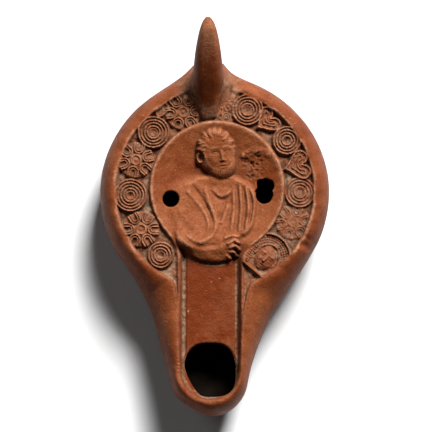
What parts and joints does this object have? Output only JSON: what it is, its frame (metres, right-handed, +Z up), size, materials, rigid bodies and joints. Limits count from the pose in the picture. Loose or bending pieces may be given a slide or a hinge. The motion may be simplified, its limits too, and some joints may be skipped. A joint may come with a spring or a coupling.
{
  "type": "roman oil lamp",
  "caption": "Mould-made fired clay oil lamp: round hollow body, draped bust on a sunken discus, stamped shoulder, channel to a wick hole, solid lug handle.",
  "frame": {"origin": "centre of the footprint box on the plane the foot ring stands on", "axes": "+Z up, +Y from the nozzle towards the handle, +X to the right when the nozzle points to the viewer"},
  "size_m": [0.0824, 0.1392, 0.05],
  "materials": {
    "clay": "fired orange-red clay with a thin semi-matte slip and pale lime in the hollows"
  },
  "bodies": {
    "root": {"lamp_body": "clay"}
  },
  "joints": []
}
